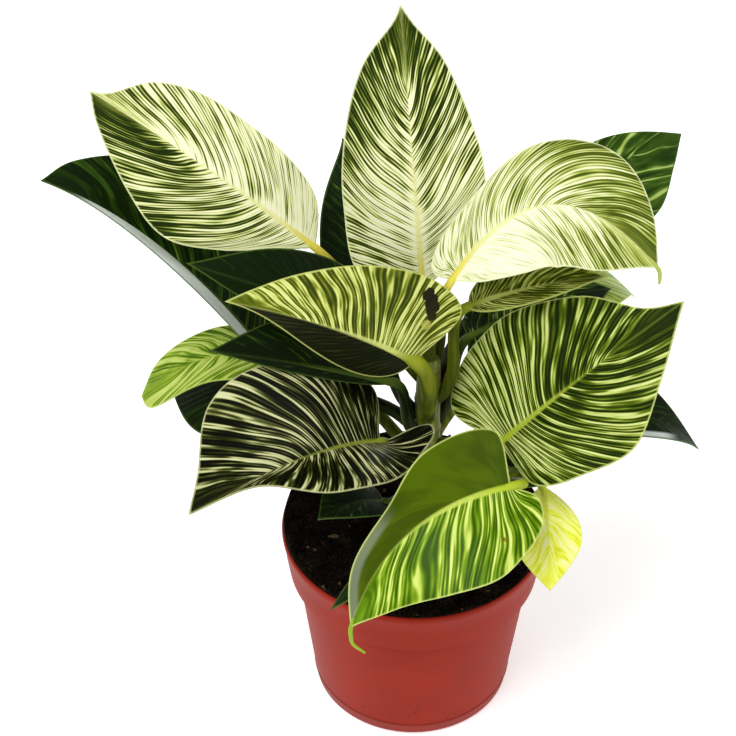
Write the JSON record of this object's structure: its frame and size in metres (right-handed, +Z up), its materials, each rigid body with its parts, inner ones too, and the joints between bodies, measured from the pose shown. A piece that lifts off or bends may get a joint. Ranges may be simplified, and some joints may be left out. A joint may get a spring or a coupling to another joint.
{
  "type": "potted philodendron",
  "caption": "Bushy house plant with heart-shaped leaves, dark green with cream pinstripes, in a round tapered nursery pot filled with soil.",
  "frame": {"origin": "centre of the pot's underside, on the surface the pot stands on", "axes": "+Z up along the pot's axis, -Y towards the front, +X to the right seen from the front"},
  "size_m": [0.2834, 0.1807, 0.3282],
  "materials": {
    "pot_plastic": "satin moulded polypropylene",
    "soil": "moist peat and bark crumb",
    "stem_green": "smooth waxy green",
    "leaf_young": "waxy, cream pinstripes on pale green",
    "leaf_striped": "glossy, cream pinstripes on green",
    "leaf_dark": "glossy dark green",
    "leaf_lime": "soft satin yellow-green"
  },
  "bodies": {
    "root": {"pot": "pot_plastic", "soil": "soil", "stem": "stem_green", "leaf_crown": "leaf_young", "leaf_upper_right": "leaf_young", "leaf_upper_left": "leaf_young", "leaf_back_left": "leaf_dark", "leaf_under_right": "leaf_striped", "leaf_back_right": "leaf_dark", "leaf_middle_left": "leaf_striped", "leaf_left_dark": "leaf_dark", "leaf_right_shaded": "leaf_dark", "leaf_left_shaded": "leaf_dark", "leaf_far_left": "leaf_dark", "leaf_right_large": "leaf_striped", "leaf_back_pale": "leaf_lime", "leaf_left_pale": "leaf_lime", "leaf_lower_left": "leaf_striped", "leaf_right_dark": "leaf_dark", "leaf_left_low": "leaf_dark", "leaf_front": "leaf_striped", "leaf_soil_left": "leaf_dark", "leaf_right_low": "leaf_dark", "leaf_lime": "leaf_lime", "leaf_rim": "leaf_dark"}
  },
  "joints": []
}
